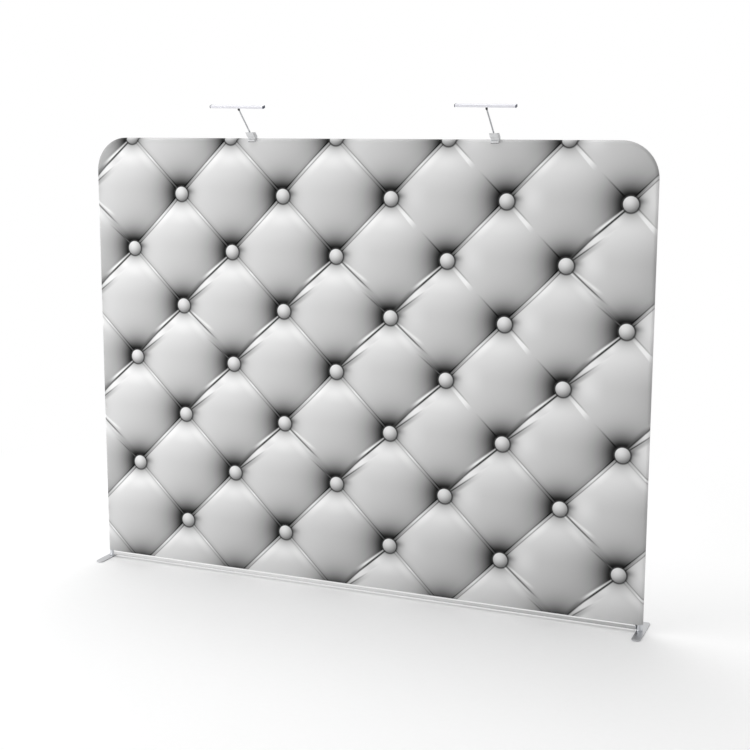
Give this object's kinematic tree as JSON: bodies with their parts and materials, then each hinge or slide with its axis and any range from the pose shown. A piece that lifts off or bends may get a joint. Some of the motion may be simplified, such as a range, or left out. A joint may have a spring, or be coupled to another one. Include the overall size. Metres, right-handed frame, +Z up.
{
  "type": "tension fabric display stand",
  "caption": "Free-standing tension fabric display: slip-together tube frame on flat swivel feet, zipped stretch cover with a tufted-panel print, arm lamps clamped to the top rail.",
  "frame": {"origin": "floor level, at the centre of the bounding box in plan", "axes": "+X along the display's width, to the right as the print is faced; -Y the way the printed face looks; +Z up"},
  "size_m": [3.0246, 0.32, 2.5004],
  "materials": {
    "anodised_tube": "clear anodised, satin",
    "satin_aluminium": "satin, clear anodised",
    "satin_steel": "satin, brushed along its length",
    "zinc_steel": "zinc plated",
    "printed_fabric": "matt dye-printed stretch polyester with a tufted-panel print",
    "plain_fabric": "matt white stretch polyester",
    "zip_nylon": "white moulded nylon",
    "grey_plastic": "light grey satin moulding",
    "black_plastic": "black satin moulding",
    "navy_plastic": "dark navy satin moulding",
    "black_rubber": "matt black",
    "white_enamel": "white powder-coated extrusion",
    "milky_acrylic": "milky diffusing acrylic",
    "board_white": "white solder-masked board"
  },
  "bodies": {
    "frame": {"upright_left": "anodised_tube", "upright_right": "anodised_tube", "corner_tube_left": "anodised_tube", "corner_tube_right": "anodised_tube", "top_rail_left": "anodised_tube", "top_rail_right": "anodised_tube", "bottom_rail_left": "anodised_tube", "bottom_rail_right": "anodised_tube", "centre_post_lower": "anodised_tube", "centre_post_upper": "anodised_tube", "post_saddle_bottom": "black_plastic", "post_saddle_top": "black_plastic", "cover_front": "printed_fabric", "cover_back": "plain_fabric", "cover_hem": "plain_fabric"},
    "foot_left": {"foot_plate_left": "satin_steel", "foot_sole_left": "black_rubber", "foot_spigot_left": "zinc_steel", "foot_bolt_left": "zinc_steel"},
    "foot_right": {"foot_plate_right": "satin_steel", "foot_sole_right": "black_rubber", "foot_spigot_right": "zinc_steel", "foot_bolt_right": "zinc_steel"},
    "snap_button_upright_left": {"snap_button_upright_left": "zinc_steel"},
    "snap_button_upright_right": {"snap_button_upright_right": "zinc_steel"},
    "snap_button_stub_left": {"snap_button_stub_left": "zinc_steel"},
    "snap_button_stub_right": {"snap_button_stub_right": "zinc_steel"},
    "snap_button_corner_left": {"snap_button_corner_left": "zinc_steel"},
    "snap_button_corner_right": {"snap_button_corner_right": "zinc_steel"},
    "snap_button_top_rail": {"snap_button_top_rail": "zinc_steel"},
    "snap_button_bottom_rail": {"snap_button_bottom_rail": "zinc_steel"},
    "snap_button_post": {"snap_button_post": "zinc_steel"},
    "zip_slider": {"zip_slider": "zip_nylon"},
    "zip_pull": {"zip_pull": "zip_nylon"},
    "lamp_left_clamp": {"lamp_left_clamp": "grey_plastic", "lamp_left_arm_pin": "zinc_steel"},
    "lamp_left_pad": {"lamp_left_screw_pad": "black_rubber"},
    "lamp_left_screw": {"lamp_left_clamp_screw": "black_plastic"},
    "lamp_left_arm": {"lamp_left_arm": "satin_aluminium"},
    "lamp_left_head": {"lamp_left_knuckle": "black_plastic", "lamp_left_knuckle_pin": "zinc_steel", "lamp_left_housing": "white_enamel", "lamp_left_diffuser": "milky_acrylic", "lamp_left_led_board": "board_white", "lamp_left_cap_left": "navy_plastic", "lamp_left_cap_right": "navy_plastic"},
    "lamp_right_clamp": {"lamp_right_clamp": "grey_plastic", "lamp_right_arm_pin": "zinc_steel"},
    "lamp_right_pad": {"lamp_right_screw_pad": "black_rubber"},
    "lamp_right_screw": {"lamp_right_clamp_screw": "black_plastic"},
    "lamp_right_arm": {"lamp_right_arm": "satin_aluminium"},
    "lamp_right_head": {"lamp_right_knuckle": "black_plastic", "lamp_right_knuckle_pin": "zinc_steel", "lamp_right_housing": "white_enamel", "lamp_right_diffuser": "milky_acrylic", "lamp_right_led_board": "board_white", "lamp_right_cap_left": "navy_plastic", "lamp_right_cap_right": "navy_plastic"}
  },
  "joints": [
    {"name": "foot_left_swivel", "type": "hinge", "parent": "frame", "child": "foot_left", "pos_m": [-1.4838, 0.02704, 0], "axis": [0, 0, 1], "range_deg": [-90, 90]},
    {"name": "foot_right_swivel", "type": "hinge", "parent": "frame", "child": "foot_right", "pos_m": [1.4838, 0.02704, 0], "axis": [0, 0, 1], "range_deg": [-90, 90]},
    {"name": "snap_button_upright_left_press", "type": "slide", "parent": "frame", "child": "snap_button_upright_left", "axis": [-1, 0, 0], "range_m": [0, 0.0046], "stiffness_N_per_m": 800, "springref_m": -0.001},
    {"name": "snap_button_upright_right_press", "type": "slide", "parent": "frame", "child": "snap_button_upright_right", "axis": [1, 0, 0], "range_m": [0, 0.0046], "stiffness_N_per_m": 800, "springref_m": -0.001},
    {"name": "snap_button_stub_left_press", "type": "slide", "parent": "frame", "child": "snap_button_stub_left", "axis": [0, 0, -1], "range_m": [0, 0.0046], "stiffness_N_per_m": 800, "springref_m": -0.001},
    {"name": "snap_button_stub_right_press", "type": "slide", "parent": "frame", "child": "snap_button_stub_right", "axis": [0, 0, -1], "range_m": [0, 0.0046], "stiffness_N_per_m": 800, "springref_m": -0.001},
    {"name": "snap_button_corner_left_press", "type": "slide", "parent": "frame", "child": "snap_button_corner_left", "axis": [0, 0, 1], "range_m": [0, 0.0046], "stiffness_N_per_m": 800, "springref_m": -0.001},
    {"name": "snap_button_corner_right_press", "type": "slide", "parent": "frame", "child": "snap_button_corner_right", "axis": [0, 0, 1], "range_m": [0, 0.0046], "stiffness_N_per_m": 800, "springref_m": -0.001},
    {"name": "snap_button_top_rail_press", "type": "slide", "parent": "frame", "child": "snap_button_top_rail", "axis": [0, 0, 1], "range_m": [0, 0.0046], "stiffness_N_per_m": 800, "springref_m": -0.001},
    {"name": "snap_button_bottom_rail_press", "type": "slide", "parent": "frame", "child": "snap_button_bottom_rail", "axis": [0, 0, -1], "range_m": [0, 0.0046], "stiffness_N_per_m": 800, "springref_m": -0.001},
    {"name": "snap_button_post_press", "type": "slide", "parent": "frame", "child": "snap_button_post", "axis": [-1, 0, 0], "range_m": [0, 0.0046], "stiffness_N_per_m": 800, "springref_m": -0.001},
    {"name": "zip_run", "type": "slide", "parent": "frame", "child": "zip_slider", "axis": [-1, 0, 0], "range_m": [0, 2.88]},
    {"name": "zip_pull_swing", "type": "hinge", "parent": "zip_slider", "child": "zip_pull", "pos_m": [1.4418, 0.04849, 0.04], "axis": [0, 0, -1], "range_deg": [0, 170]},
    {"name": "lamp_left_clamp_slide", "type": "slide", "parent": "frame", "child": "lamp_left_clamp", "axis": [1, 0, 0], "range_m": [-0.72, 0.4]},
    {"name": "lamp_left_pad_press", "type": "slide", "parent": "lamp_left_clamp", "child": "lamp_left_pad", "axis": [0, 1, 0], "range_m": [0, 0.001]},
    {"name": "lamp_left_screw_turn", "type": "hinge", "parent": "lamp_left_pad", "child": "lamp_left_screw", "pos_m": [-0.562, 0.06004, 2.3158], "axis": [0, 1, 0], "range_deg": [0, 289]},
    {"name": "lamp_left_arm_tilt", "type": "hinge", "parent": "lamp_left_clamp", "child": "lamp_left_arm", "pos_m": [-0.562, 0.00054, 2.3503], "axis": [1, 0, 0], "range_deg": [-75, 4]},
    {"name": "lamp_left_head_tilt", "type": "hinge", "parent": "lamp_left_arm", "child": "lamp_left_head", "pos_m": [-0.562, -0.12894, 2.47534], "axis": [1, 0, 0], "range_deg": [-55, 60]},
    {"name": "lamp_right_clamp_slide", "type": "slide", "parent": "frame", "child": "lamp_right_clamp", "axis": [1, 0, 0], "range_m": [-0.4, 0.56]},
    {"name": "lamp_right_pad_press", "type": "slide", "parent": "lamp_right_clamp", "child": "lamp_right_pad", "axis": [0, 1, 0], "range_m": [0, 0.001]},
    {"name": "lamp_right_screw_turn", "type": "hinge", "parent": "lamp_right_pad", "child": "lamp_right_screw", "pos_m": [0.726, 0.06004, 2.3158], "axis": [0, 1, 0], "range_deg": [0, 289]},
    {"name": "lamp_right_arm_tilt", "type": "hinge", "parent": "lamp_right_clamp", "child": "lamp_right_arm", "pos_m": [0.726, 0.00054, 2.3503], "axis": [1, 0, 0], "range_deg": [-75, 4]},
    {"name": "lamp_right_head_tilt", "type": "hinge", "parent": "lamp_right_arm", "child": "lamp_right_head", "pos_m": [0.726, -0.12894, 2.47534], "axis": [1, 0, 0], "range_deg": [-55, 60]}
  ],
  "couplings": [
    {"joint": "lamp_left_screw_turn", "follows": "lamp_left_pad_press", "rad_per_m": 5026.6},
    {"joint": "lamp_right_screw_turn", "follows": "lamp_right_pad_press", "rad_per_m": 5026.6}
  ]
}
